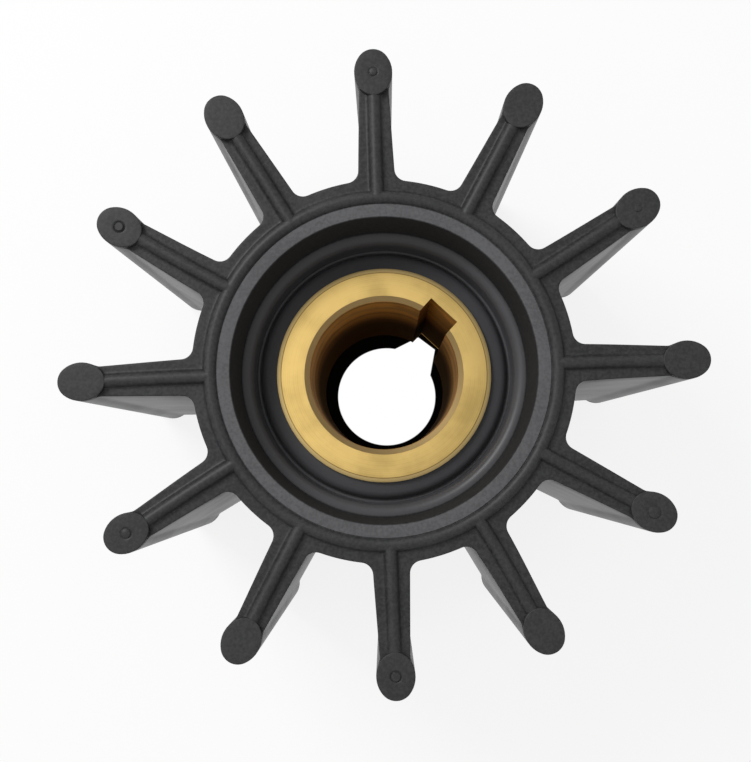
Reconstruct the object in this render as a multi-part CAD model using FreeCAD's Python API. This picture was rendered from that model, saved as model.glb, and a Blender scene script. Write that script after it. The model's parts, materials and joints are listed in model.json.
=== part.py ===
import FreeCAD, Part
import math
import os

# Flexible-vane pump impeller: a moulded rubber body of twelve vanes,
# bonded round a keyed brass bush. The shaft axis is Z. The impeller lies
# on one end, with its origin on the axis at the level of that end.
# Millimetres and degrees.

# Overall
tip_diameter = 82.5
length = 63.5
vane_count = 12

# Brass bush
bore_diameter = 20.0
bush_wall = 4.4
recess_depth = 9.7
bore_chamfer = 0.7
bush_chamfer = 0.55
bush_chamfer_drop = 0.2
key_width = 4.75
key_depth = 1.95
key_angle = 45.0

# Recess in each end of the hub, from the bush outwards
lip_width = 1.95
lip_drop = 0.65
lip_fall = 0.55
groove_width = 1.05
groove_floor = 0.5
groove_lean = 0.15
groove_depth = 1.5
shelf_height = 2.6
shelf_width = 1.55
shelf_bevel = 0.6
recess_draft = 4.0
mouth_bevel = 0.25

# End face of the hub, from the recess outwards
face_ring_width = 2.6
face_ring_height = 0.45
bead_radius = 0.88
rim_width = 2.38
crest_flats = 4

# Vanes
web_root_thickness = 4.75
web_tip_thickness = 3.65
rib_radius = 0.84
bulb_length = 5.98
bulb_width = 4.9
bulb_fullness = 0.88
root_fillet = 1.6
bulb_fillet = 1.8

# Vent nubs, on the upper end of every second bulb
nub_every = 2
nub_radius = 0.6
nub_height = 0.3

# Radii that follow from the sizes above
bore_radius = bore_diameter / 2
bush_radius = bore_radius + bush_wall
lip_radius = bush_radius + lip_width
shelf_inner = lip_radius + groove_width
shelf_outer = shelf_inner + shelf_width
bush_base = recess_depth
bush_top = length - recess_depth
lip_top = bush_top - lip_drop
shelf_top = lip_top + shelf_height

# The webs and the hub end short of the bulbs by the height of the bead
web_top = length - bead_radius
web_base = bead_radius
ring_top = web_top + face_ring_height
mouth_radius = shelf_outer + (ring_top - shelf_top) * math.tan(math.radians(recess_draft))
bead_ring_radius = mouth_radius + face_ring_width
hub_radius = bead_ring_radius + rim_width

# Where a vane's parts lie along its own centre line, and what lies between two vanes
tip_radius = tip_diameter / 2
bulb_centre = tip_radius - bulb_length / 2
pitch = 360.0 / vane_count
valley_width = hub_radius * math.radians(pitch) - web_root_thickness

UP = FreeCAD.Vector(0, 0, 1)
ORIGIN = FreeCAD.Vector(0, 0, 0)


def turned(shape, degrees):
    """A copy of the shape, turned about the shaft axis."""
    copy = shape.copy()
    copy.rotate(ORIGIN, UP, degrees)
    return copy


def flipped(shape):
    """A copy of the shape, mirrored from the upper end to the lower one."""
    return shape.mirror(FreeCAD.Vector(0, 0, length / 2), UP)


def at(radius, height):
    """A point of a section that is revolved about the shaft axis."""
    return FreeCAD.Vector(radius, 0, height)


def line(start, end):
    return Part.LineSegment(start, end).toShape()


def arc(start, middle, end):
    return Part.Arc(start, middle, end).toShape()


def outline(points):
    """The closed wire of straight edges through the points."""
    return Part.Wire([line(a, b) for a, b in zip(points, points[1:] + points[:1])])


def revolved(points):
    """The solid that a straight-sided section makes when it is turned about the shaft."""
    return Part.Face(outline(points)).revolve(ORIGIN, UP, 360)


def recess_cutter():
    """Everything that is open in the upper end of the hub, above the end of the bush.

    The wall goes down with draft to a shelf, the shelf drops into a groove,
    and the groove rises again to a lip that slopes up to the bush.
    """
    above = length + bead_radius
    draft = math.tan(math.radians(recess_draft))
    floor_height = lip_top - groove_depth
    floor_outer = shelf_inner - groove_lean
    return revolved([
        at(0, above),
        at(0, lip_top),
        at(bush_radius, lip_top),
        at(lip_radius, lip_top - lip_fall),
        at(floor_outer - groove_floor, floor_height),
        at(floor_outer, floor_height),
        at(shelf_inner, shelf_top),
        at(shelf_outer - shelf_bevel, shelf_top),
        at(shelf_outer + shelf_bevel * draft, shelf_top + shelf_bevel),
        at(mouth_radius - mouth_bevel * draft, ring_top - mouth_bevel),
        at(mouth_radius + mouth_bevel, ring_top),
        at(mouth_radius + mouth_bevel, above),
    ])


def crest(radius):
    """A half-round as flats: offsets across it and heights, from side to side."""
    turns = [math.pi * i / crest_flats for i in range(crest_flats + 1)]
    return [(radius * math.cos(t), radius * math.sin(t)) for t in turns]


def end_bead():
    """The half-round sealing bead that runs round the hub's upper end face."""
    foot = web_top - bead_radius
    section = [at(bead_ring_radius + x, web_top + z) for x, z in crest(bead_radius)]
    section.append(at(bead_ring_radius - bead_radius, foot))
    section.append(at(bead_ring_radius + bead_radius, foot))
    return revolved(section)


def face_ring():
    """The flat ring between the bead and the mouth of the recess."""
    height = face_ring_height + bead_radius
    return Part.makeCylinder(
        bead_ring_radius, height, FreeCAD.Vector(0, 0, ring_top - height), UP
    )


def web():
    """The wall of one vane along X, thick at the hub and thinner at the bulb."""
    slope = (web_tip_thickness - web_root_thickness) / (bulb_centre - hub_radius)
    inner = hub_radius - rim_width
    inner_half = (web_root_thickness + slope * (inner - hub_radius)) / 2
    outer_half = web_tip_thickness / 2
    corners = [
        FreeCAD.Vector(inner, -inner_half, web_base),
        FreeCAD.Vector(bulb_centre, -outer_half, web_base),
        FreeCAD.Vector(bulb_centre, outer_half, web_base),
        FreeCAD.Vector(inner, inner_half, web_base),
    ]
    return Part.Face(outline(corners)).extrude(UP * (web_top - web_base))


def bulb():
    """The full-length bulb at the tip of one vane along X.

    Its section is an oval of four arcs that meet in line: two small ones at
    the ends and two large ones along the sides. It stands proud of the web
    at both ends, as a pad for the pump's end covers.
    """
    half_length = bulb_length / 2
    half_width = bulb_width / 2
    end_radius = bulb_fullness * half_width
    end_centre = half_length - end_radius
    side_radius = end_centre**2 + half_width**2 - end_radius**2
    side_radius /= 2 * (half_width - end_radius)
    joint_x = end_centre * side_radius / (side_radius - end_radius)
    joint_y = end_radius * (side_radius - half_width) / (side_radius - end_radius)

    def point(x, y):
        return FreeCAD.Vector(bulb_centre + x, y, 0)

    edges = [
        arc(point(joint_x, -joint_y), point(half_length, 0), point(joint_x, joint_y)),
        arc(point(joint_x, joint_y), point(0, half_width), point(-joint_x, joint_y)),
        arc(point(-joint_x, joint_y), point(-half_length, 0), point(-joint_x, -joint_y)),
        arc(point(-joint_x, -joint_y), point(0, -half_width), point(joint_x, -joint_y)),
    ]
    return Part.Face(Part.Wire(edges)).extrude(UP * length)


def end_rib():
    """The half-round rib along the middle of one vane's upper end face."""
    foot = web_top - rib_radius
    offsets = [(y, web_top + z) for y, z in crest(rib_radius)]
    offsets += [(-rib_radius, foot), (rib_radius, foot)]
    section = [FreeCAD.Vector(bead_ring_radius, y, z) for y, z in offsets]
    along = FreeCAD.Vector(bulb_centre - bead_ring_radius, 0, 0)
    return Part.Face(outline(section)).extrude(along)


def upright_edges(solid, nearest, farthest):
    """The edges parallel to the shaft that lie between two distances from it."""
    found = []
    for edge in solid.Edges:
        box = edge.BoundBox
        upright = max(box.XLength, box.YLength) < box.ZLength / 1000
        if upright and nearest < math.hypot(box.XMin, box.YMin) < farthest:
            found.append(edge)
    return found


def vanes_on_hub():
    """Hub, webs and bulbs, with the corners at roots and necks filleted."""
    height = web_top - web_base
    hub = Part.makeCylinder(hub_radius, height, FreeCAD.Vector(0, 0, web_base), UP)
    angles = [k * pitch for k in range(vane_count)]
    vanes = [turned(part, angle) for angle in angles for part in (web(), bulb())]
    solid = hub.fuse(vanes).removeSplitter()
    roots = upright_edges(solid, hub_radius - root_fillet / 2, hub_radius + root_fillet / 2)
    solid = solid.makeFillet(min(root_fillet, valley_width / 3), roots)
    necks = upright_edges(solid, (hub_radius + bulb_centre) / 2, bulb_centre)
    return solid.makeFillet(bulb_fillet, necks).Solids[0]


def vent_nub():
    """The small round nub in the middle of one bulb's upper end."""
    foot = FreeCAD.Vector(bulb_centre, 0, length - nub_height)
    return Part.makeCylinder(nub_radius, 2 * nub_height, foot, UP)


def rubber_body():
    """The moulding: vanes, ribs, beads and hub, less the seat of the bush."""
    upper = [end_bead(), face_ring()]
    upper += [turned(end_rib(), k * pitch) for k in range(vane_count)]
    lower = [flipped(shape) for shape in upper]
    nubs = [turned(vent_nub(), k * pitch) for k in range(1, vane_count, nub_every)]
    body = vanes_on_hub().fuse(upper).fuse(lower).fuse(nubs)
    seat = Part.makeCylinder(bush_radius, length, ORIGIN, UP)
    body = body.cut([seat, recess_cutter(), flipped(recess_cutter())])
    return body.removeSplitter()


def brass_bush():
    """The turned bush, chamfered inside and out at both ends, with its keyway."""
    bush = revolved([
        at(bore_radius + bore_chamfer, bush_base),
        at(bush_radius - bush_chamfer, bush_base),
        at(bush_radius, bush_base + bush_chamfer_drop),
        at(bush_radius, bush_top - bush_chamfer_drop),
        at(bush_radius - bush_chamfer, bush_top),
        at(bore_radius + bore_chamfer, bush_top),
        at(bore_radius, bush_top - bore_chamfer),
        at(bore_radius, bush_base + bore_chamfer),
    ])
    keyway = Part.makeBox(
        bore_radius + key_depth,
        key_width,
        bush_top - bush_base,
        FreeCAD.Vector(0, -key_width / 2, bush_base),
    )
    return bush.cut(turned(keyway, key_angle)).removeSplitter()


os.makedirs("parts", exist_ok=True)
for name, make in (("rubber_body", rubber_body), ("brass_bush", brass_bush)):
    shape = make()
    solids = shape.Solids
    print(name, "solids", len(solids), "valid", shape.isValid(), "volume", round(shape.Volume, 1))
    solids[0].exportStep("parts/" + name + ".step")
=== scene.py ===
# %% [markdown]
# A flexible-vane pump impeller is one rubber moulding round a brass bush. Its
# straight vanes have a round bulb along each tip, and every edge is soft. It
# could be extruded from an outline and bevelled, but bevels fail where ribs,
# bead and bulbs run together. So each surface is worked out here as a grid of
# points that has its roundings in it. The solid model gives the place and the
# main sizes. This script gives both pieces their real edges and finishes, and
# lights them on a plain white table.

# %% Load the frame and read its sizes
import json
import math
import bmesh
import bpy
import numpy as np
from mathutils import Matrix, Vector


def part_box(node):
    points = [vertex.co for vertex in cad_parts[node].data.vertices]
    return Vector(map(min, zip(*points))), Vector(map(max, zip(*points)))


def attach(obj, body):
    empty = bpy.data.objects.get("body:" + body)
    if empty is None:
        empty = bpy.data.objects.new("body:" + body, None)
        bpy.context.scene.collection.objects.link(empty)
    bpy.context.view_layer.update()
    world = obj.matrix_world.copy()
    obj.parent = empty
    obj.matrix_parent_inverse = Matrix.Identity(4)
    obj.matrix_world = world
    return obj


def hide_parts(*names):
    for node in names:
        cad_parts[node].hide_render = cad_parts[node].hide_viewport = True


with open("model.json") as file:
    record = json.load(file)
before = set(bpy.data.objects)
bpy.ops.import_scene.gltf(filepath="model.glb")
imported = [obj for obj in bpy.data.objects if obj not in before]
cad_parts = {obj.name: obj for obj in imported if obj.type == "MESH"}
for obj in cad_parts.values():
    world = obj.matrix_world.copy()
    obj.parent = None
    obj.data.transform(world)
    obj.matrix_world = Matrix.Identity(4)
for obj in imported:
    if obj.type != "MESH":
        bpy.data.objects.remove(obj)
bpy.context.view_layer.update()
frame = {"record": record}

MM = 0.001
rubber_low, rubber_high = [np.array(corner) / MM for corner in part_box("rubber_body")]
bush_low, bush_high = [np.array(corner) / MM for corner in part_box("brass_bush")]
bore = next(m for m in frame["record"]["mounts"] if m["name"] == "bore")

bore_radius = bore["dims"]["r_mm"]
bush_radius = 14.4
bush_base, bush_top = bush_low[2], bush_high[2]
length = bush_base + bush_top
middle = length / 2
tip_radius = 41.25
print("rubber body from", rubber_low.round(2), "to", rubber_high.round(2), "mm")
print("length", round(length, 2), "tip radius", tip_radius, "bore radius", bore_radius)

# %% [markdown]
# The vanes and hub have one outline, seen along the shaft. It is the same
# twelve times over, and each vane has two like halves. All twelve could be
# drawn one by one, but then no two would be alike. So the shapes are worked
# out for half a vane and half the length, in millimetres, and then mirrored
# and turned. The sizes are those that a mould maker marks on the drawing.

# %% Sizes of the moulding
vane_count = 12
web_root_thickness = 4.75
web_tip_thickness = 3.65
bulb_length = 5.98
bulb_width = 4.9
bulb_fullness = 0.88
root_fillet = 1.6
neck_fillet = 1.8
bead_radius = 0.88
rib_radius = 0.84
edge_round = 0.1
pad_round = 0.12
foot_round = 0.4

half_pitch = math.pi / vane_count
web_root_half = web_root_thickness / 2
web_tip_half = web_tip_thickness / 2
bulb_half_length = bulb_length / 2
bulb_half_width = bulb_width / 2
bulb_centre = tip_radius - bulb_half_length
web_top = length - bead_radius
print("webs end at", round(web_top, 2), "and bulbs are centred at", round(bulb_centre, 2))

# %% [markdown]
# Each end of the hub has a stepped recess. From the bush outwards come a lip,
# a groove, a shelf, a wall with some draft, the flat face ring and the bead.
# Their widths add up to the radius of the hub, so they are written as widths
# and heights, and the radii follow.

# %% Sizes of the recess, from the bush outwards
lip_width = 1.95
lip_drop = 0.65
lip_fall = 0.35
groove_width = 1.05
groove_floor = 0.5
groove_lean = 0.15
groove_depth = 1.5
shelf_width = 1.55
shelf_height = 2.6
recess_draft = math.radians(4.0)
face_ring_width = 2.6
face_ring_height = 0.45
rim_width = 2.38

lip_radius = bush_radius + lip_width
shelf_inner = lip_radius + groove_width
shelf_outer = shelf_inner + shelf_width
lip_top = bush_top - lip_drop
groove_level = lip_top - groove_depth
shelf_top = lip_top + shelf_height
ring_top = web_top + face_ring_height
mouth_radius = shelf_outer + (ring_top - shelf_top) * math.tan(recess_draft)
bead_ring_radius = mouth_radius + face_ring_width
hub_radius = bead_ring_radius + rim_width
print("mouth", round(mouth_radius, 2), "bead", round(bead_ring_radius, 2), "hub", round(hub_radius, 2))

# %% [markdown]
# The bulb's section is an oval of four arcs that meet in line. Two small arcs
# close its ends, and two large ones make its sides. An ellipse would do from
# afar, but a mould is cut with arcs, and fillets touch arcs in known places.
# Knowing the centres is enough to say where any line across meets the rim.

# %% The oval of a bulb
end_radius = bulb_fullness * bulb_half_width
end_offset = bulb_half_length - end_radius
side_radius = end_offset**2 + bulb_half_width**2 - end_radius**2
side_radius /= 2 * (bulb_half_width - end_radius)
side_offset = side_radius - bulb_half_width
joint_y = end_radius * side_offset / (side_radius - end_radius)
print("oval: arcs of", round(end_radius, 2), "at the ends and", round(side_radius, 2), "at the sides")


def oval_x(y):
    """How far the oval's rim is from its middle, along the vane, at the distance y across.

    On the end arc that is the place of its centre plus the root of its radius
    squared less y squared. Beyond the joint the side arc gives it likewise.
    """
    y = np.asarray(y, float)
    end = end_offset + np.sqrt(np.maximum(end_radius**2 - y**2, 0))
    side = np.sqrt(np.maximum(side_radius**2 - (y + side_offset) ** 2, 0))
    return np.where(y < joint_y, end, side)


# %% [markdown]
# The outline of half a vane runs from the bulb through the neck fillet, down
# the straight flank, through the root fillet and along the valley between two
# vanes. Each fillet is a circle that touches its two neighbours, and its
# centre comes from the distances between them. A bevel would find it by
# itself, but then nobody would know which points lie on it.

# %% Centres and ends of the two fillets
slope = math.atan2(web_tip_half - web_root_half, bulb_centre - hub_radius)
along = np.array([math.cos(slope), math.sin(slope)])
across = np.array([-math.sin(slope), math.cos(slope)])
flank_start = np.array([hub_radius, web_root_half])
side_centre = np.array([bulb_centre, -side_offset])


def fillet_centre(target, target_radius, fillet, towards):
    """Centre of the circle that touches the flank and, from outside, a circle round target.

    It lies one fillet radius off the flank and both radii away from the target.
    """
    height = (target - flank_start) @ across
    run = math.sqrt((target_radius + fillet) ** 2 - (fillet - height) ** 2)
    return target + (fillet - height) * across + towards * run * along


def angle_of(vector):
    """The direction of a plan vector, in radians from X."""
    return math.atan2(vector[1], vector[0])


neck_centre = fillet_centre(side_centre, side_radius, neck_fillet, -1)
root_centre = fillet_centre(np.zeros(2), hub_radius, root_fillet, 1)
neck_start = angle_of(side_centre - neck_centre)
neck_end = angle_of(-across)
root_start = angle_of(-across)
root_end = angle_of(-root_centre)
print("neck fillet at", neck_centre.round(2), "root fillet at", root_centre.round(2))


# %% Helpers for points on arcs
def ease(start, end, count):
    """Evenly spaced numbers from start to end, without the first."""
    return np.linspace(start, end, count + 1)[1:]


def on_arc(centre, radius, angles):
    """Points on a circle: its centre plus the radius times the cosine and sine of each angle."""
    angles = np.asarray(angles, float)
    return np.asarray(centre) + radius * np.stack([np.cos(angles), np.sin(angles)], axis=-1)


def mix(a, b, share):
    """The point that lies the given share of the way from a to b."""
    return a + (b - a) * share


def at_height(plan, height):
    """Plan points lifted to one height, or to a height each."""
    return np.column_stack([plan, np.broadcast_to(height, len(plan))])


print("the point at 45 degrees on a circle of 1 mm:", on_arc((0, 0), 1.0, math.pi / 4).round(2))

# %% The outline and the one inside its rounded edge
neck_points = 7
flank_steps = 12
root_points = 5
valley_steps = 5
reach = neck_fillet + edge_round
apart = side_radius + neck_fillet
swing = math.acos((reach**2 + apart**2 - side_radius**2) / (2 * reach * apart))


def outline_halves(inset):
    """The outline, moved in by an inset, as its web part and its hub part.

    The web part runs from the bulb to the middle of the root fillet. The hub
    part goes on from there to the middle of the valley. The inset one starts
    a swing further back on the neck fillet, where it meets the oval. The rule
    of cosines gives the swing, in the triangle between that meeting point and
    the centres of the fillet and the side arc.
    """
    turn = swing if inset else 0.0
    neck_angles = np.linspace(neck_start - turn, neck_end, neck_points)
    neck = on_arc(neck_centre, neck_fillet + inset, neck_angles)
    root_angles = np.unwrap([root_start, root_end])
    halfway = root_angles.mean()
    web_side = np.linspace(root_angles[0], halfway, root_points)
    hub_side = np.linspace(halfway, root_angles[1], root_points)
    root_a = on_arc(root_centre, root_fillet + inset, web_side)
    root_b = on_arc(root_centre, root_fillet + inset, hub_side)
    flank = mix(neck[-1], root_a[0], ease(0, 1, flank_steps)[:-1, None])
    valley_angles = ease(angle_of(root_centre), half_pitch, valley_steps)
    valley = on_arc((0, 0), hub_radius - inset, valley_angles)
    return np.concatenate([neck, flank, root_a]), np.concatenate([root_b, valley])


web_edge, hub_edge = outline_halves(0.0)
web_inner, hub_inner = outline_halves(edge_round)
web_share = (web_edge[0, 0] - web_edge[:, 0]) / (web_edge[0, 0] - web_edge[-1, 0])
hub_angle = np.arctan2(hub_edge[:, 1], hub_edge[:, 0])
hub_share = (hub_angle - hub_angle[0]) / (half_pitch - hub_angle[0])
print("stations:", len(web_share), "along the web,", len(hub_share), "round the hub")

# %% [markdown]
# The end face outside the bead is one sheet. Its inner border is a crest: it
# comes down the middle of the rib and turns the corner into the bead. Both
# are half-rounds with a hollow foot, so lines at the same distance from the
# crest have the same height, and the corner between rib and bead falls on a
# line of the grid. Two tubes joined by a boolean would leave a hard seam.

# %% Rows over the rib and the bead
crown_points = 7
hollow_steps = 4


def crest_rows(radius):
    """Offsets from a crest and heights above the flat, down a half-round and its hollow foot.

    The hollow is an arc that touches the half-round and the flat. The line between
    the two centres is as long as both radii together, and rises by the hollow's own.
    """
    reach = radius + foot_round
    rise = math.asin(foot_round / reach)
    crown = on_arc((0, 0), radius, np.linspace(math.pi / 2, rise, crown_points))
    centre = (reach * math.cos(rise), foot_round)
    hollow = on_arc(centre, foot_round, ease(math.pi + rise, 1.5 * math.pi, hollow_steps))
    return np.concatenate([crown, hollow]).T


rib_offset, rib_height = crest_rows(rib_radius)
bead_offset, bead_height = crest_rows(bead_radius)
print("rows over the rib:", len(rib_offset))


# %% Where the rib runs into the rounded rim of the bulb's pad
def rim_lift(height):
    """The turn along the pad's rounded rim at which it reaches a height, from 0 at its foot.

    The sine of the turn is the height over that foot, divided by the rim's radius.
    """
    return np.arcsin(np.clip((height - (length - pad_round)) / pad_round, 0, 1))


def pad_rim(plan, turn):
    """Moves points of the oval's rim in towards its middle, as the rounded rim does at a turn.

    The way in is the rim's radius times one less the cosine of the turn.
    """
    inward = np.array([bulb_centre, 0.0]) - plan
    inward = inward / np.linalg.norm(inward, axis=-1, keepdims=True)
    return plan + inward * (pad_round * (1 - np.cos(turn)))[..., None]


def oval_hubward(y):
    """Points on the hubward side of the bulb's oval, at distances y from the centre line."""
    y = np.asarray(y, float)
    return np.stack([bulb_centre - oval_x(y), y], axis=-1)


print("the oval's nearest point to the hub:", oval_hubward(0.0).round(2))

# %% The crest and the flat beside it
flat_shares = ease(0, 1, 4)
fading = 4


def crest_sheet():
    """Plan and heights of the rows over the rib, round the corner and along the bead.

    Along the web each row is straight from the bulb to the corner, and its height
    goes evenly from the rib's to the bead's. Round the hub it is part of a circle.
    """
    start_plan = pad_rim(oval_hubward(rib_offset), rim_lift(web_top + rib_height))
    radii = bead_ring_radius + bead_offset
    corner_angle = np.arcsin(bead_offset / radii)
    corner_plan = on_arc((0, 0), 1.0, corner_angle) * radii[:, None]
    web_plan = mix(start_plan[None], corner_plan[None], web_share[:, None, None])
    web_height = web_top + mix(rib_height[None], bead_height[None], web_share[:, None])
    angles = mix(corner_angle[None], half_pitch, hub_share[:, None])
    hub_plan = radii[None, :, None] * on_arc((0, 0), 1.0, angles)
    hub_height = np.broadcast_to(web_top + bead_height, angles.shape)
    plan = np.concatenate([web_plan, hub_plan[1:]])
    return plan, np.concatenate([web_height, hub_height[1:]])


def flat_sheet(foot, inner):
    """Plan of the flat, from the foot of the crest to the inner outline.

    At the bulb it follows the oval. The bend dies away with the distance from
    the bulb, as a power of what is left of the web.
    """
    flat = mix(foot[:, None], inner[:, None], flat_shares[None, :, None])
    wanted = oval_hubward(mix(foot[0, 1], inner[0, 1], flat_shares))
    fade = np.concatenate([(1 - web_share) ** fading, np.zeros(len(hub_share) - 1)])
    return flat + fade[:, None, None] * (wanted - flat[0])[None]


print("stations and rows over the crest:", crest_sheet()[0].shape[:2])

# %% The end face as one grid: crest, flat, rounded edge, flank
edge_turns = ease(0, math.pi / 2, 3)
flank_heights = ease(web_top - edge_round, middle, 5)


def end_face_rows():
    """The end face outside the bead, as one grid of points: stations by rows.

    The rounded edge is a quarter circle: it goes out with the sine of its turn,
    and down with one less the cosine.
    """
    plan, height = crest_sheet()
    edge = np.concatenate([web_edge, hub_edge[1:]])
    inner = np.concatenate([web_inner, hub_inner[1:]])
    flat = flat_sheet(plan[:, -1], inner)
    rounded = mix(inner[:, None], edge[:, None], np.sin(edge_turns)[None, :, None])
    flank = np.broadcast_to(edge[:, None], (len(edge), len(flank_heights), 2))
    plan = np.concatenate([plan, flat, rounded, flank], axis=1)

    flat_height = np.full(len(flat_shares), web_top)
    rounded_height = web_top - edge_round * (1 - np.cos(edge_turns))
    outward = np.concatenate([flat_height, rounded_height, flank_heights])
    outward = np.broadcast_to(outward, (len(edge), len(outward)))
    height = np.concatenate([height, outward], axis=1)
    return np.concatenate([plan, height[..., None]], axis=2)


end_face = end_face_rows()
top_rows = len(rib_offset) + len(flat_shares) + len(edge_turns)
print("end face grid:", end_face.shape)

# %% [markdown]
# A bulb stands proud of the web as an oval pad with a rounded rim. Its foot
# follows the web and the rib on the side towards the hub, and runs straight
# into the bulb's outer wall on the other side. Every second pad has a small
# nub in the middle, where air left the mould, in a shallow moat. Insets and
# extrusions could make these by hand, twelve times. Rings from the foot to
# the middle make all of it in one grid, for a nub of any size.

# %% The nub in the middle of a pad
# Rings over the flat: where it ends, in radii of the nub, and shares of the way there
moat_share = 1.45
pad_shares = (0.5, 0.92, 1.0)
# Rings of the nub: shares of its radius, and of its height
nub_profile = ((1.3, -0.15), (1.08, -0.7), (1.0, -0.6), (0.93, 0.6), (0.8, 1.0), (0.0, 1.0))


def nub_rings(rim, nub_radius, nub_height):
    """Rings from the pad's rim over its flat, through the moat and up to the nub's top.

    Every ring has the rim's directions from the middle, so its points lie in
    line with those of the rim.
    """
    centre = np.array([bulb_centre, 0.0])
    distance = np.linalg.norm(rim - centre, axis=1, keepdims=True)
    heading = (rim - centre) / distance
    rings = []
    for share in pad_shares:
        plan = centre + heading * mix(distance, nub_radius * moat_share, share)
        rings.append(at_height(plan, length))
    for radius_share, rise in nub_profile:
        plan = centre + heading * nub_radius * radius_share
        rings.append(at_height(plan, length + rise * nub_height))
    return rings


print("rings over a pad's flat and nub:", len(pad_shares) + len(nub_profile))

# %% The pad and the outer wall of a bulb
side_steps = 9
end_steps = 7
wall_shares = ease(0, 1, 2)
rim_shares = ease(0, 1, 5)


def outer_rim():
    """Points on the bulb's rim from the end of the neck fillet round to the tip."""
    start = end_face[0, top_rows - 1, :2]
    end_centre = np.array([bulb_centre + end_offset, 0.0])
    side_from = angle_of(start - side_centre)
    side_to = math.atan2(side_offset, end_offset)
    side = on_arc(side_centre, side_radius, ease(side_from, side_to, side_steps))
    end = on_arc(end_centre, end_radius, ease(side_to, 0.0, end_steps))
    return np.concatenate([side, end])


def bulb_pad(nub_radius, nub_height):
    """The pad as rings from its foot to its middle, and the outer wall below it.

    The first rings rise straight to the foot of the rounded rim. The next go in
    and up round a quarter circle, and the rings of the nub follow.
    """
    hubward = end_face[0, :top_rows]
    outer = outer_rim()
    foot_plan = np.concatenate([hubward[:, :2], outer])
    foot_height = np.concatenate([hubward[:, 2], np.full(len(outer), hubward[-1, 2])])
    low_rim = np.maximum(foot_height, length - pad_round)
    rings = [at_height(foot_plan, foot_height)]
    rings += [at_height(foot_plan, mix(foot_height, low_rim, share)) for share in wall_shares]

    lift = rim_lift(foot_height)
    true_rim = foot_plan.copy()
    true_rim[:len(rib_offset)] = oval_hubward(rib_offset)
    for share in rim_shares:
        turn = mix(lift, math.pi / 2, share)
        rim = pad_rim(true_rim, turn)
        rings.append(at_height(rim, length - pad_round * (1 - np.sin(turn))))
    rings += nub_rings(rim, nub_radius, nub_height)

    wall_plan = np.concatenate([hubward[-1:, :2], outer])
    heights = np.concatenate([[hubward[-1, 2]], flank_heights])
    wall = [at_height(wall_plan, height) for height in heights]
    return [np.stack(rings), np.stack(wall)]


print("points round half a pad:", top_rows + len(outer_rim()))

# %% [markdown]
# Everything inside the bead is turned: the same section all the way round.
# The section leaves the bead at a fine crease, crosses the flat face ring,
# goes down the wall of the recess to a shelf, rolls over its wide brink into
# a groove, and comes up again over a round lip that slopes up to the bush. A
# Screw modifier could turn it, but its steps have to meet the end face point
# for point, so it is turned here. It is easiest to draw with sharp corners,
# which are then rounded one by one.

# %% A line with rounded corners
arc_points = 6


def soften(corners, radii):
    """A run of straight lines whose corners become arcs that touch both lines.

    Where the lines meet at an angle, an arc of radius r starts r / tan(angle / 2)
    from the corner, and its centre is r / sin(angle / 2) away from it.
    """
    run = [corners[:1]]
    for before, corner, after, radius in zip(corners, corners[1:], corners[2:], radii):
        back = (before - corner) / np.linalg.norm(before - corner)
        ahead = (after - corner) / np.linalg.norm(after - corner)
        half = math.acos(back @ ahead) / 2
        middle_way = (back + ahead) / np.linalg.norm(back + ahead)
        centre = corner + middle_way * radius / math.sin(half)
        ends = [corner + side * radius / math.tan(half) - centre for side in (back, ahead)]
        angles = np.unwrap([angle_of(end) for end in ends])
        run.append(on_arc(centre, radius, np.linspace(*angles, arc_points)))
    return np.concatenate(run + [corners[-1:]])


print("each rounded corner gets", arc_points, "points")

# %% The section of the hub inside the bead
bead_points = 5
crease_width = 0.1
crease_depth = 0.13
mouth_round = 0.22
cove_round = 0.06
brink_round = 1.2
groove_round = 0.28
lip_round = 1.1


def hub_section():
    """Radius and height along the turned surface, from the bead to the seat of the bush.

    It leaves the bead where the height over the flat, divided by the bead's
    radius, is the cosine of the angle from the crest.
    """
    meeting = math.acos((ring_top - crease_depth - web_top) / bead_radius)
    bead_angles = math.pi / 2 + np.linspace(0, meeting, bead_points)
    bead = on_arc((bead_ring_radius, web_top), bead_radius, bead_angles)
    floor_outer = shelf_inner - groove_lean
    corners = np.array([
        [bead[-1, 0] - crease_width, ring_top],
        [mouth_radius, ring_top],
        [shelf_outer, shelf_top],
        [shelf_inner, shelf_top],
        [floor_outer, groove_level],
        [floor_outer - groove_floor, groove_level],
        [lip_radius, lip_top - lip_fall],
        [bush_radius, lip_top],
    ])
    radii = [mouth_round, cove_round, brink_round, groove_round, groove_round, lip_round]
    seat = np.array([[bush_radius, middle]])
    return np.concatenate([bead, soften(corners, radii), seat])


def turned_surface(section, angles):
    """Carries a section of radius and height round the shaft, one row for each angle."""
    radius, height = section[:, 0], section[:, 1]
    x = np.cos(angles)[:, None] * radius
    y = np.sin(angles)[:, None] * radius
    return np.stack([x, y, np.broadcast_to(height, x.shape)], axis=-1)


hub_inside = turned_surface(hub_section(), half_pitch * hub_share)
print("turned section:", len(hub_section()), "points")

# %% [markdown]
# A mesh needs one list of corners and one list of faces. Each grid gives a
# corner for every point and a four-sided face for every cell. The grids share
# their border points, so merging corners that coincide closes the skin, and
# the half-vane becomes the whole body by mirroring and turning. Mirror and
# array modifiers could do that too, but here each vane leans its own way.


# %% From grids to lists of points and faces
def grid_faces(shape):
    """Corner numbers of every cell of a grid."""
    index = np.arange(shape[0] * shape[1]).reshape(shape[:2])
    cell = [index[:-1, :-1], index[1:, :-1], index[1:, 1:], index[:-1, 1:]]
    return np.stack(cell, axis=-1).reshape(-1, 4)


def gather(grids):
    """Points and faces of several grids as two arrays."""
    points, faces, count = [], [], 0
    for grid in grids:
        points.append(grid.reshape(-1, 3))
        faces.append(grid_faces(grid.shape) + count)
        count += len(points[-1])
    return np.concatenate(points), np.concatenate(faces)


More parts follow.
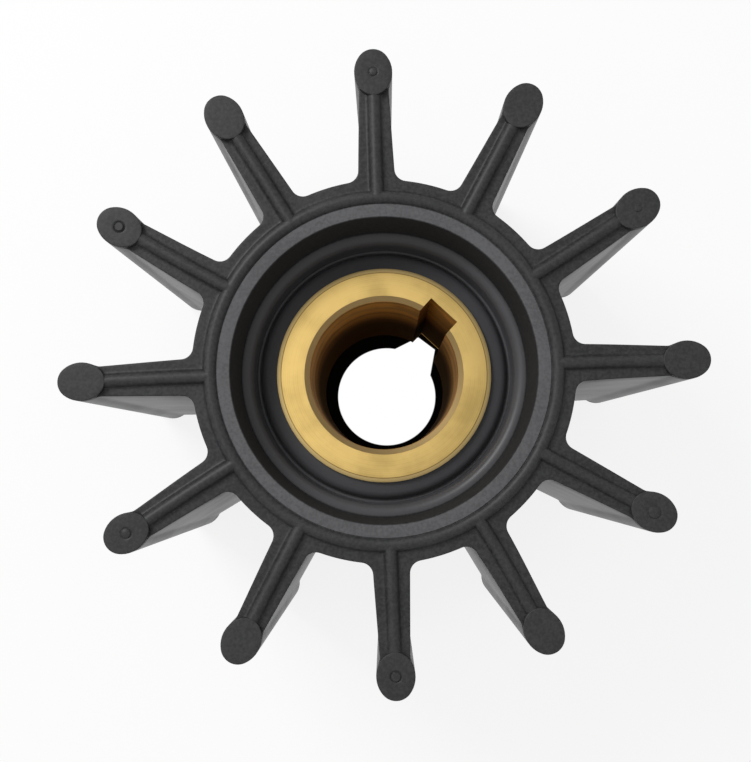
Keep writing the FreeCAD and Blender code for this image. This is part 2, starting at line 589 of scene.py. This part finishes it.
def mirrored(points, axis, level):
    """The points mirrored in the plane where the axis has the given level."""
    copy = points.copy()
    copy[:, axis] = 2 * level - copy[:, axis]
    return copy


def turned(points, angle):
    """The points turned about the shaft."""
    c, s = math.cos(angle), math.sin(angle)
    return points @ np.array([[c, s, 0], [-s, c, 0], [0, 0, 1]])


print("faces of the end face grid:", len(grid_faces(end_face.shape)))

# %% From lists to one closed mesh
merge_distance = 0.0008


def make_piece(name, points, faces):
    """A mesh object from points in millimetres, merged, closed and facing outwards."""
    mesh = bpy.data.meshes.new(name)
    mesh.from_pydata((points * MM).tolist(), [], faces.tolist())
    shell = bmesh.new()
    shell.from_mesh(mesh)
    bmesh.ops.remove_doubles(shell, verts=shell.verts, dist=merge_distance * MM)
    bmesh.ops.dissolve_degenerate(shell, edges=shell.edges, dist=merge_distance * MM / 4)
    bmesh.ops.recalc_face_normals(shell, faces=shell.faces)
    open_edges = sum(1 for edge in shell.edges if len(edge.link_faces) != 2)
    shell.to_mesh(mesh)
    shell.free()
    piece = bpy.data.objects.new(name, mesh)
    bpy.context.collection.objects.link(piece)
    print(name, "has", len(mesh.polygons), "faces and", open_edges, "open edges")
    return piece


print("corners within", merge_distance, "mm of each other become one")

# %% [markdown]
# Rubber vanes are never quite straight. Each one leans a little to one side.
# A bend modifier on each vane could do that, but a turn about the shaft keeps
# every tip on one circle. Its angle grows from nothing at the hub to its full
# value at the bulb. The nubs on every second bulb were torn off by hand, so
# no two are alike, and the lower end has none.

# %% Nubs and leans
# Radius and height of the nub on the upper end of a vane's bulb
plain_pad = (0.6, 0.0)
nub_sizes = {
    1: (0.5, 0.06),
    3: (0.5, 0.1),
    5: (0.6, 0.2),
    7: (0.6, 0.12),
    9: (0.6, 0.16),
    11: (0.8, 0.1),
}
# How far each vane leans, in degrees
vane_leans = (-0.36, 0.30, 0.08, -0.11, 0.11, -0.53, 0.17, 0.36, 0.18, 0.07, -0.80, -0.07)


def leaned(points, degrees):
    """The points turned about the shaft by an angle that grows outwards.

    It is the full angle times 3 s^2 - 2 s^3, where s goes from 0 at the hub to 1
    at the middle of the bulb.
    """
    radius = np.hypot(points[:, 0], points[:, 1])
    share = np.clip((radius - hub_radius) / (bulb_centre - hub_radius), 0, 1)
    angle = math.radians(degrees) * share**2 * (3 - 2 * share)
    x = points[:, 0] * np.cos(angle) - points[:, 1] * np.sin(angle)
    y = points[:, 0] * np.sin(angle) + points[:, 1] * np.cos(angle)
    return np.column_stack([x, y, points[:, 2]])


print("nubs on", len(nub_sizes), "bulbs, and leans of up to", max(map(abs, vane_leans)), "degrees")

# %% Build the rubber body
rubber_crease = math.radians(38)


def rubber_points():
    """All corners and faces of the moulding: each half-vane, both sides and both ends."""
    points, faces, count = [], [], 0
    for vane, lean in enumerate(vane_leans):
        upper = gather([end_face, hub_inside] + bulb_pad(*nub_sizes.get(vane, plain_pad)))
        lower = gather([end_face, hub_inside] + bulb_pad(*plain_pad))
        for part, part_faces in (upper, (mirrored(lower[0], 2, middle), lower[1])):
            for side in (part, mirrored(part, 1, 0.0)):
                points.append(turned(leaned(side, lean), vane * 2 * half_pitch))
                faces.append(part_faces + count)
                count += len(part)
    return np.concatenate(points), np.concatenate(faces)


rubber = make_piece("rubber_body_skin", *rubber_points())
rubber.data.shade_smooth()
rubber.data.set_sharp_from_angle(angle=rubber_crease)
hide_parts("rubber_body")
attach(rubber, "root")

# %% [markdown]
# The bush is turned from bar and then broached. Its section along the shaft
# is a plain ring with chamfers. Seen along the shaft, its hole is a circle
# with a square notch for the key. Cutting the notch with a boolean would
# break the chamfer's faces, so the hole's outline is drawn again for each
# radius that the chamfer passes through.

# %% Sizes of the bush
key_width = 4.75
key_depth = 1.95
key_angle = math.radians(45)
bore_chamfer = 0.7
bush_chamfer = 0.55
bush_chamfer_drop = 0.13
wall_points = 5
circle_points = 241
floor_points = 9
bush_crease = math.radians(20)

key_half = key_width / 2
key_floor = bore_radius + key_depth
mouth_of_bore = bore_radius + bore_chamfer
face_radius = bush_radius - bush_chamfer
print("face of the bush from", mouth_of_bore, "to", face_radius, "and key floor at", key_floor)


# %% The outline of the hole
def keyed_outline(radius):
    """The hole's outline for one radius: key floor, wall, circle and the other wall.

    The walls meet the circle at the root of its radius squared less half the
    key's width squared.
    """
    edge_x = math.sqrt(radius**2 - key_half**2)
    wall_x = np.linspace(key_floor, edge_x, wall_points)
    wall = np.column_stack([wall_x, np.full(wall_points, key_half)])
    gap = math.atan2(key_half, edge_x)
    circle = on_arc((0, 0), radius, np.linspace(gap, 2 * math.pi - gap, circle_points))
    floor_y = np.linspace(-key_half, key_half, floor_points)[1:-1]
    floor = np.column_stack([np.full(len(floor_y), key_floor), floor_y])
    back = wall[::-1] * [1, -1]
    return np.concatenate([wall, circle[1:-1], back, floor, wall[:1]])


print("points round the hole:", len(keyed_outline(bore_radius)))


# %% Build the brass bush
def bush_grid():
    """The bush's skin as a closed sheet: outlines of the hole, then circles outside."""
    hole = (
        (bush_base, mouth_of_bore),
        (bush_base + bore_chamfer, bore_radius),
        (bush_top - bore_chamfer, bore_radius),
        (bush_top, mouth_of_bore),
    )
    outside = (
        (bush_top, face_radius),
        (bush_top - bush_chamfer_drop, bush_radius),
        (bush_base + bush_chamfer_drop, bush_radius),
        (bush_base, face_radius),
    )
    rings = [at_height(keyed_outline(radius), height) for height, radius in hole]
    angles = np.unwrap(np.arctan2(rings[-1][:, 1], rings[-1][:, 0]))
    rings += [at_height(on_arc((0, 0), radius, angles), height) for height, radius in outside]
    return np.stack(rings + rings[:1])


bush_points, bush_faces = gather([bush_grid()])
bush = make_piece("brass_bush_skin", turned(bush_points, key_angle), bush_faces)
bush.data.shade_smooth()
bush.data.set_sharp_from_angle(angle=bush_crease)
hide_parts("brass_bush")
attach(bush, "root")

# %% [markdown]
# A finish is a network of nodes. It could be wired by hand in the editor, but
# written as sums and products it reads like the recipe that it is. One small
# class stands for a node's output and turns each sign into a Math node. The
# next one makes every other node, and the last knows the patterns and masks
# that rubber, brass, table and room have in common.


# %% A small language for materials: outputs
class Output:
    """The output of a node. Signs between outputs and numbers add Math nodes."""

    def __init__(self, network, socket):
        self.network = network
        self.socket = socket

    def math(self, operation, first, second):
        settings = {"operation": operation}
        return self.network.node("ShaderNodeMath", settings, {0: first, 1: second})

    def __add__(self, other):
        return self.math("ADD", self, other)

    def __sub__(self, other):
        return self.math("SUBTRACT", self, other)

    def __rsub__(self, other):
        return self.math("SUBTRACT", other, self)

    def __mul__(self, other):
        return self.math("MULTIPLY", self, other)

    def __abs__(self):
        return self.math("ABSOLUTE", self, 0.0)

    def at_most(self, other):
        return self.math("MINIMUM", self, other)

    def at_least(self, other):
        return self.math("MAXIMUM", self, other)

    __radd__ = __add__
    __rmul__ = __mul__


print("outputs can be added, subtracted, multiplied and compared")


# %% A small language for materials: networks
class Network:
    """The nodes of a material or a world, made one call at a time."""

    def __init__(self, owner):
        owner.use_nodes = True
        self.owner = owner
        self.tree = owner.node_tree
        self.tree.nodes.clear()

    def node(self, kind, settings, inputs, output=0):
        """Adds a node, sets it up, then fills its sockets with numbers or links."""
        node = self.tree.nodes.new(kind)
        for name, value in settings.items():
            setattr(node, name, value)
        for name, value in inputs.items():
            if isinstance(value, Output):
                self.tree.links.new(value.socket, node.inputs[name])
            else:
                node.inputs[name].default_value = value
        return Output(self, node.outputs[output])

    def other(self, output, name):
        """Another output of the same node."""
        return Output(self, output.socket.node.outputs[name])

    def finish(self, shader, kind="ShaderNodeOutputMaterial"):
        """Links the shader to the output and gives back the material or world."""
        output = self.tree.nodes.new(kind)
        self.tree.links.new(shader.socket, output.inputs["Surface"])
        return self.owner


print("a network makes nodes, finds their other outputs and finishes a material")


# %% A small language for materials: patterns and masks
class Recipe(Network):
    """A network that knows the patterns and masks of these finishes."""

    def place(self):
        """The place on the object, in metres."""
        return self.node("ShaderNodeTexCoord", {}, {}, "Object")

    def noise(self, vector, scale, detail):
        """Cloudy noise in space."""
        inputs = {"Vector": vector, "Scale": scale, "Detail": detail}
        return self.node("ShaderNodeTexNoise", {}, inputs)

    def stripes(self, value, scale, detail):
        """Noise along one value, which makes rings or bands."""
        inputs = {"W": value, "Scale": scale, "Detail": detail}
        return self.node("ShaderNodeTexNoise", {"noise_dimensions": "1D"}, inputs)

    def blend(self, share, first, second):
        """A colour that lies the given share of the way from the first to the second."""
        inputs = {0: share, 6: first, 7: second}
        return self.node("ShaderNodeMix", {"data_type": "RGBA"}, inputs, 2)

    def rise(self, value, start, end):
        """0 up to the start, 1 from the end on, and a smooth rise between. The end may be lower."""
        inputs = {"Value": value, "From Min": start, "From Max": end}
        return self.node("ShaderNodeMapRange", {"interpolation_type": "SMOOTHSTEP"}, inputs)

    def band(self, value, low, high, soft):
        """1 between two values and 0 outside them, with soft borders."""
        return self.rise(value, low - soft, low) * self.rise(value, high + soft, high)

    def measures(self, centre=(0, 0, 0), turn=0.0):
        """The distance from an upright axis, Z, X and Y, in metres, after a move and a turn."""
        place = self.node("ShaderNodeMapping", {"vector_type": "TEXTURE"}, {
            "Vector": self.place(), "Location": centre, "Rotation": (0, 0, turn),
        })
        x = self.node("ShaderNodeSeparateXYZ", {}, {"Vector": place}, "X")
        y, z = self.other(x, "Y"), self.other(x, "Z")
        flat = self.node("ShaderNodeCombineXYZ", {}, {"X": x, "Y": y})
        radius = self.node("ShaderNodeVectorMath", {"operation": "LENGTH"}, {0: flat}, "Value")
        return radius, z, x, y

    def bump(self, height, strength, distance):
        """The surface's direction, tilted as a relief of the given depth would tilt it."""
        inputs = {"Strength": strength, "Distance": distance, "Height": height}
        return self.node("ShaderNodeBump", {}, inputs)

    def seen(self):
        """1 for rays from the camera, from a mirror or through glass, and 0 for the light's own rays."""
        camera = self.node("ShaderNodeLightPath", {}, {}, "Is Camera Ray")
        glossy = self.other(camera, "Is Glossy Ray")
        passed = self.other(camera, "Is Transmission Ray")
        return (camera + glossy + passed).at_most(1.0)


def mm(*sizes):
    """Sizes in millimetres as a list in metres, the unit of the scene."""
    return [size * MM for size in sizes]


print("the bush's radius in metres:", mm(bush_radius))

# %% [markdown]
# Moulded rubber takes the fine grain of its steel mould, and it is a little
# cloudy where it has been handled. The black is deep and the gloss low, so
# tops look dark, and only walls that are seen edge-on pick up the white of
# the room. The face ring runs against the pump's cover seal and is rubbed
# pale. The wall of the recess is painted nearly black, as painted shade. Its
# floor is painted paler, partly dust and partly painted light, and the crests
# and pads are painted a shade lighter, partly wear and partly painted
# highlight. A picture of rubber would show seams, and noise in space has none.


# %% Rubber: where its finish changes
rubbed_from = mouth_radius + 0.2
rubbed_to = bead_ring_radius - 0.85
crest_from = middle - 0.4
crest_to = middle - 0.05
wall_from = shelf_outer - 0.05
wall_to = mouth_radius - 0.02
floor_from = bush_radius + 0.2
floor_to = shelf_outer - 0.35
side_from = middle - 1.0
side_to = middle - 1.6
web_from = hub_radius - 0.8
web_to = hub_radius - 0.3


def rubber_zones(made):
    """Masks for the face ring, the crests and pads, the recess's wall and floor, and the outer sides."""
    radius, z = made.measures()[:2]
    from_middle = abs(z - middle * MM)
    ring = made.band(radius, *mm(rubbed_from, rubbed_to, 0.12))
    crest = made.rise(from_middle, *mm(crest_from, crest_to))
    wall = made.band(radius, *mm(wall_from, wall_to, 0.08))
    floor = made.band(radius, *mm(floor_from, floor_to, 0.3))
    side = made.rise(from_middle, *mm(side_from, side_to))
    side = side * made.rise(radius, *mm(web_from, web_to))
    return ring, crest, wall, floor, side


print("face ring rubbed from", round(rubbed_from, 2), "to", round(rubbed_to, 2), "mm")

# %% Rubber: its colours and gloss
deep_black = (0.013, 0.013, 0.014, 1)
dusty_black = (0.030, 0.030, 0.031, 1)
crest_wear_and_highlight = (0.040, 0.040, 0.041, 1)
ring_grey = (0.086, 0.086, 0.090, 1)
wall_painted_shade = (0.006, 0.006, 0.006, 1)
floor_dust_and_light = (0.062, 0.062, 0.066, 1)
rubber_gloss = 0.22
grain_depth = 0.00005


def rubber_finish():
    """Mottled black, paler where rubbed, with painted shade on the recess wall, partly painted light on
    its floor and a partly painted highlight on the crests, a fine relief, and more gloss on the outer
    sides.
    """
    made = Recipe(bpy.data.materials.new("moulded rubber"))
    place = made.place()
    cloud = made.noise(place, scale=110.0, detail=4.0)
    grain = made.noise(place, scale=2600.0, detail=3.0)
    pores = made.noise(place, scale=1200.0, detail=3.0)
    ring, crest, wall, floor, side = rubber_zones(made)
    tone = made.rise(cloud * 0.25 + grain * 0.5 + pores * 0.25, 0.38, 0.62)
    colour = made.blend(tone, deep_black, dusty_black)
    # partly wear and partly painted highlight: the crests and pads are painted a shade lighter
    colour = made.blend(crest * 0.2, colour, crest_wear_and_highlight)
    colour = made.blend(ring * (0.65 + 0.35 * tone), colour, ring_grey)
    # painted shade: the wall of the recess is painted nearly black
    colour = made.blend(wall * 0.6, colour, wall_painted_shade)
    # partly dust and partly painted light: the recess floor is painted paler where the lamps reach
    # little
    colour = made.blend(floor * (0.7 + 0.3 * cloud), colour, floor_dust_and_light)
    rough = 0.40 + 0.14 * cloud + 0.05 * pores
    rough = rough + 0.40 * wall - 0.12 * side - 0.12 * floor
    shader = made.node("ShaderNodeBsdfPrincipled", {}, {
        "Base Color": colour,
        "Roughness": rough,
        "Normal": made.bump(grain * 0.6 + pores * 0.4, 0.4, grain_depth),
        "Specular IOR Level": rubber_gloss,
    })
    print("rubber:", len(made.tree.nodes), "nodes")
    return made.finish(shader)


rubber.data.materials.append(rubber_finish())

# %% [markdown]
# The lathe leaves rings on the face of the bush, and these are one noise
# along the radius. A thin dark line is painted where the face meets its outer
# chamfer, and the chamfer itself is painted darker, as painted shade. The
# bore and the keyway were never polished, so they are brown, with worn bands,
# and the brown is partly painted shade. Little light gets down them, so they
# are painted darker from the upper end to the lower one, as painted shade.
# One material does it all, because the change from bright to brown is a line
# on one piece of metal.


# %% Brass: where its finish changes
brown_from = bush_radius - 1.5
brown_to = bush_radius - 2.0
line_half = 0.03
line_soft = 0.05
dim_from = 3.0
dim_to = 27.0


def brass_zones(made, radius, z, from_end):
    """Masks for the bore and keyway, the two chamfers, the thin dark line at the outer chamfer, and the
    depth in the bore, where shade is painted.
    """
    inside = made.rise(radius, *mm(brown_from, brown_to))
    inside = inside * made.rise(from_end, *mm(bore_chamfer - 0.06, bore_chamfer + 0.02))
    inner = made.rise(radius, *mm(mouth_of_bore + 0.02, mouth_of_bore - 0.04))
    outer = made.rise(radius, *mm(face_radius, face_radius + 0.1))
    edge_line = made.band(radius, *mm(face_radius - line_half, face_radius + line_half, line_soft))
    depth = made.rise(bush_top * MM - z, *mm(dim_from, dim_to))
    return inside, inner, outer, edge_line, depth


print("the bore darkens from", dim_from, "to", dim_to, "mm below its upper end")

# %% Brass: its colours and gloss
tarnished = (0.405, 0.282, 0.094, 1)
polished = (0.570, 0.398, 0.138, 1)
outer_chamfer_shade = (0.41, 0.30, 0.13, 1)
inner_edge = (0.46, 0.33, 0.15, 1)
line_dark = (0.12, 0.072, 0.024, 1)
warm_brown = (0.64, 0.31, 0.065, 1)
dull_brown = (0.20, 0.105, 0.030, 1)
bore_painted_shade = (0.010, 0.006, 0.003, 1)
edge_on_tint = (0.42, 0.28, 0.10, 1)
ring_depth = 0.00003


def brass_finish():
    """Bright on the face, with a thin dark line and painted shade on the outer chamfer at its edge, and
    brown and dull inside, with painted shade down the bore.
    """
    made = Recipe(bpy.data.materials.new("turned brass"))
    radius, z = made.measures()[:2]
    from_end = (bush_top - middle) * MM - abs(z - middle * MM)
    inside, inner, outer, edge_line, depth = brass_zones(made, radius, z, from_end)
    rings = made.stripes(radius + from_end * 0.7, scale=5200.0, detail=4.0)
    bands = made.stripes(z, scale=330.0, detail=2.0)
    tarnish = made.noise(made.place(), scale=160.0, detail=4.0)
    stain = made.rise(tarnish * 0.8 + rings * 0.2, 0.32, 0.62)
    bright = made.blend(stain, tarnished, polished)
    # painted shade: the outer chamfer is painted darker
    bright = made.blend(outer, bright, outer_chamfer_shade)
    # a thin dark line painted where the face meets its outer chamfer
    bright = made.blend(edge_line * 0.85, bright, line_dark)
    bright = made.blend(inner, bright, inner_edge)
    worn = made.rise(bands * 0.4 + tarnish * 0.6, 0.42, 0.58)
    # the bore's brown is partly its unpolished finish and partly painted shade
    brown = made.blend(worn * 0.6, warm_brown, dull_brown)
    # painted shade: darker further down the bore, where little light gets
    brown = made.blend(depth, brown, bore_painted_shade)
    rough = 0.26 + 0.12 * tarnish + 0.08 * rings
    rough = rough + 0.10 * inside + 0.20 * inner * (1 - inside) + 0.3 * depth * inside
    shader = made.node("ShaderNodeBsdfPrincipled", {}, {
        "Base Color": made.blend(inside, bright, brown),
        "Metallic": 1.0,
        "Specular Tint": edge_on_tint,
        "Roughness": rough,
        "Normal": made.bump(rings, 0.25, ring_depth),
    })
    print("brass:", len(made.tree.nodes), "nodes")
    return made.finish(shader)


bush.data.materials.append(brass_finish())

# %% [markdown]
# The table is white and so is the room, as in a light tent. The camera sees
# both as plain white, and so do the reflections, while the light that they
# give stays at a plain level, so that black rubber stays black. The table
# keeps the shadow. Under the hub it is also painted dark, as a painted
# shadow, but for a painted patch of light, as if light fell through the bore
# and its keyway. Masks on one flat sheet draw this more simply than cut-outs
# would.

# %% Table: the painted patch of light
patch_radius = 8.72
patch_centre = (0.40, -0.09, 0)
patch_turn = math.radians(51)
patch_soft = 0.12
notch_start = 7.0
notch_end = 12.0
notch_end_half = 1.84
notch_taper = 0.5


def painted_light_patch(made, radius, out, aside):
    """1 where a patch of light is painted: a circle, and a notch that widens towards it by its taper."""
    circle = made.rise(radius, *mm(patch_radius + patch_soft, patch_radius))
    side = notch_end_half + notch_end * notch_taper
    notch = made.rise(abs(aside) + out * notch_taper, *mm(side + patch_soft, side))
    notch = notch * made.band(out, *mm(notch_start, notch_end, patch_soft))
    return circle.at_least(notch)


print("patch of light", 2 * patch_radius, "mm across, with its notch out to", notch_end, "mm")

# %% Table: its finish and its shape
table_size = 1.5
table_glow = 0.85
table_white = (0.8, 0.8, 0.8, 1)
painted_shadow_colour = (0.02, 0.02, 0.02, 1)
shadow_from = hub_radius - 1.0
shadow_to = hub_radius - 4.0


def table_finish():
    """White with a glow for camera and mirrors, a painted shadow under the hub, and a painted patch of
    light in it that glows white.
    """
    made = Recipe(bpy.data.materials.new("white table"))
    radius, _, out, aside = made.measures(mm(*patch_centre), patch_turn)
    # painted shadow: the table is painted dark under the hub and loses its glow there
    under_hub_shadow = made.rise(radius, *mm(shadow_from, shadow_to))
    # painted light: the patch glows white inside the painted shadow
    glowing = table_glow * (1 - under_hub_shadow) + painted_light_patch(made, radius, out, aside) * under_hub_shadow
    shade = made.node("ShaderNodeBsdfPrincipled", {}, {
        "Base Color": made.blend(under_hub_shadow, table_white, painted_shadow_colour),
        "Roughness": 1.0,
        "Specular IOR Level": 0.0,
    })
    glow = made.node("ShaderNodeEmission", {}, {"Color": (1, 1, 1, 1), "Strength": 1.0})
    mixed = made.node("ShaderNodeMixShader", {}, {0: made.seen() * glowing, 1: shade, 2: glow})
    return made.finish(mixed)


def make_table():
    """One square, centred under the impeller."""
    half = table_size / 2
    mesh = bpy.data.meshes.new("table")
    corners = [(-half, -half, 0), (half, -half, 0), (half, half, 0), (-half, half, 0)]
    mesh.from_pydata(corners, [], [(0, 1, 2, 3)])
    mesh.materials.append(table_finish())
    table = bpy.data.objects.new("table", mesh)
    bpy.context.collection.objects.link(table)


make_table()
print("table", table_size, "m square")

# %% [markdown]
# The room gives an even light from all sides. On top of it a soft key lamp at
# the upper left makes one side of each rib light and the other dark, and a
# weak broad lamp, nearly overhead, warms the left side of the brass face as
# seen by the camera. Stronger lamps would bring out the ribs more, but they
# would turn the black to grey.

# %% Room and lamps
room_light = 0.53
key_place = (-0.26, 0.25, 0.40)
key_power = 1.95
key_size = 0.2
overhead_place = (-0.16, -0.01, 0.49)
overhead_power = 0.17
overhead_size = 0.25


def make_room():
    """A white world, dimmer for its own light than for the camera and for mirrors."""
    made = Recipe(bpy.data.worlds.new("light tent"))
    strength = room_light + (1 - room_light) * made.seen()
    shader = made.node("ShaderNodeBackground", {}, {"Color": (1, 1, 1, 1), "Strength": strength})
    bpy.context.scene.world = made.finish(shader, "ShaderNodeOutputWorld")


def add_lamp(name, place, power, size):
    """A square soft lamp at a place in metres, turned towards the impeller."""
    lamp = bpy.data.lights.new(name, "AREA")
    lamp.energy = power
    lamp.size = size
    holder = bpy.data.objects.new(name, lamp)
    aim = Vector((0, 0, middle * MM)) - Vector(place)
    turn = aim.to_track_quat("-Z", "Y")
    holder.matrix_world = Matrix.Translation(place) @ turn.to_matrix().to_4x4()
    bpy.context.collection.objects.link(holder)
    print(name, "of", power, "W at", place)


make_room()
add_lamp("key lamp", key_place, key_power, key_size)
add_lamp("overhead lamp", overhead_place, overhead_power, overhead_size)

# %% [markdown]
# The camera looks almost straight down the shaft from close by, so that the
# near end is wide and the vanes run away from it to one point. It could be
# set by eye, but its place and turn come out surer from the vane tips, the
# rings of the hub and the far ends of the vanes in the photograph. The lens
# shift puts that one point a little off the middle of the picture.

# %% Camera
image_width, image_height = 751, 762
focal_pixels = 1152.4
centre_pixel = (379.9, 386.1)
tilt = [math.radians(a) for a in (-3.59, -0.17, 2.17)]
camera_in_view = Vector((-0.50, -2.12, 145.2)) * MM
nearest_view = 0.01

camera_data = bpy.data.cameras.new("camera")
camera_data.sensor_width = 36.0
camera_data.lens = camera_data.sensor_width * focal_pixels / image_height
camera_data.shift_x = (image_width / 2 - centre_pixel[0]) / image_height
camera_data.shift_y = (centre_pixel[1] - image_height / 2) / image_height
camera_data.clip_start = nearest_view

turn = Matrix.Rotation(tilt[2], 3, "Z")
turn = turn @ Matrix.Rotation(tilt[1], 3, "Y") @ Matrix.Rotation(tilt[0], 3, "X")
place = turn.transposed() @ camera_in_view + Vector((0, 0, length * MM))
camera = bpy.data.objects.new("camera", camera_data)
camera.matrix_world = Matrix.Translation(place) @ turn.transposed().to_4x4()
bpy.context.collection.objects.link(camera)
bpy.context.scene.camera = camera
bpy.context.scene.view_settings.view_transform = "Standard"
print("camera at", [round(v, 4) for v in place], "with a lens of", round(camera_data.lens, 2), "mm")
